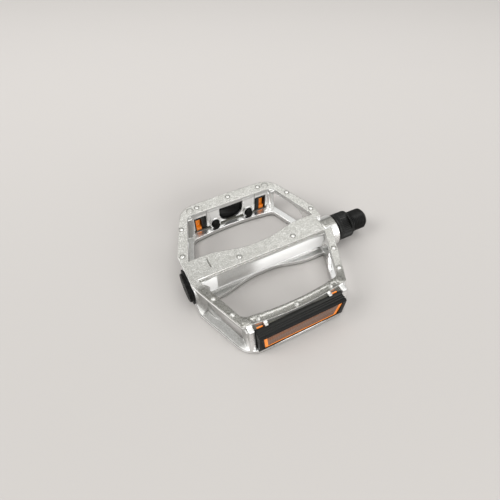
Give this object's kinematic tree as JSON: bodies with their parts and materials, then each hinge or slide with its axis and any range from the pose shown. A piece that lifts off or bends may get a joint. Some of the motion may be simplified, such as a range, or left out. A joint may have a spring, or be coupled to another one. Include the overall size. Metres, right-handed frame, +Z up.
{
  "type": "flat bicycle pedal",
  "caption": "Cast aluminium flat bicycle pedal with openings either side of a centre beam, clip-in amber reflectors front and rear, and a black steel spindle on ball bearings.",
  "frame": {"origin": "on the ground, under the middle of the whole pedal's box, lying on the studs of one platform plate", "axes": "+X along the spindle towards the crank thread, +Y towards the rail whose upper edge stands out, +Z up"},
  "size_m": [0.1324, 0.1072, 0.0238],
  "materials": {
    "cast_aluminium": "satin cast, polished on the beam's side",
    "black_steel": "black oxide",
    "bearing_steel": "ground",
    "black_plastic": "moulded, slight sheen",
    "amber_plastic": "clear amber with prismatic back",
    "seal_rubber": "matt"
  },
  "bodies": {
    "pedal": {"pedal_body": "cast_aluminium", "dust_cap": "black_plastic", "inboard_seal": "seal_rubber", "inboard_cup": "bearing_steel", "outboard_cup": "bearing_steel", "rear_reflector_housing": "black_plastic", "rear_reflector_lens": "amber_plastic", "front_reflector_housing": "black_plastic", "front_reflector_lens": "amber_plastic"},
    "spindle": {"spindle": "black_steel", "adjusting_cone": "bearing_steel", "keyed_washer": "bearing_steel", "locknut": "bearing_steel"},
    "inboard_balls": {"inboard_retainer": "bearing_steel", "inboard_ball_01": "bearing_steel", "inboard_ball_02": "bearing_steel", "inboard_ball_03": "bearing_steel", "inboard_ball_04": "bearing_steel", "inboard_ball_05": "bearing_steel", "inboard_ball_06": "bearing_steel", "inboard_ball_07": "bearing_steel", "inboard_ball_08": "bearing_steel", "inboard_ball_09": "bearing_steel", "inboard_ball_10": "bearing_steel"},
    "outboard_balls": {"outboard_retainer": "bearing_steel", "outboard_ball_01": "bearing_steel", "outboard_ball_02": "bearing_steel", "outboard_ball_03": "bearing_steel", "outboard_ball_04": "bearing_steel", "outboard_ball_05": "bearing_steel", "outboard_ball_06": "bearing_steel", "outboard_ball_07": "bearing_steel", "outboard_ball_08": "bearing_steel", "outboard_ball_09": "bearing_steel", "outboard_ball_10": "bearing_steel"}
  },
  "joints": [
    {"name": "spindle_turn", "type": "hinge", "parent": "pedal", "child": "spindle", "pos_m": [0, 0, 0.0119], "axis": [1, 0, 0], "continuous": true},
    {"name": "inboard_balls_roll", "type": "hinge", "parent": "pedal", "child": "inboard_balls", "pos_m": [0.0326, 0, 0.0119], "axis": [1, 0, 0], "continuous": true},
    {"name": "outboard_balls_roll", "type": "hinge", "parent": "pedal", "child": "outboard_balls", "pos_m": [-0.0574, 0, 0.0119], "axis": [1, 0, 0], "continuous": true}
  ],
  "couplings": [
    {"joint": "inboard_balls_roll", "follows": "spindle_turn", "ratio": 0.4143},
    {"joint": "outboard_balls_roll", "follows": "spindle_turn", "ratio": 0.4143}
  ]
}
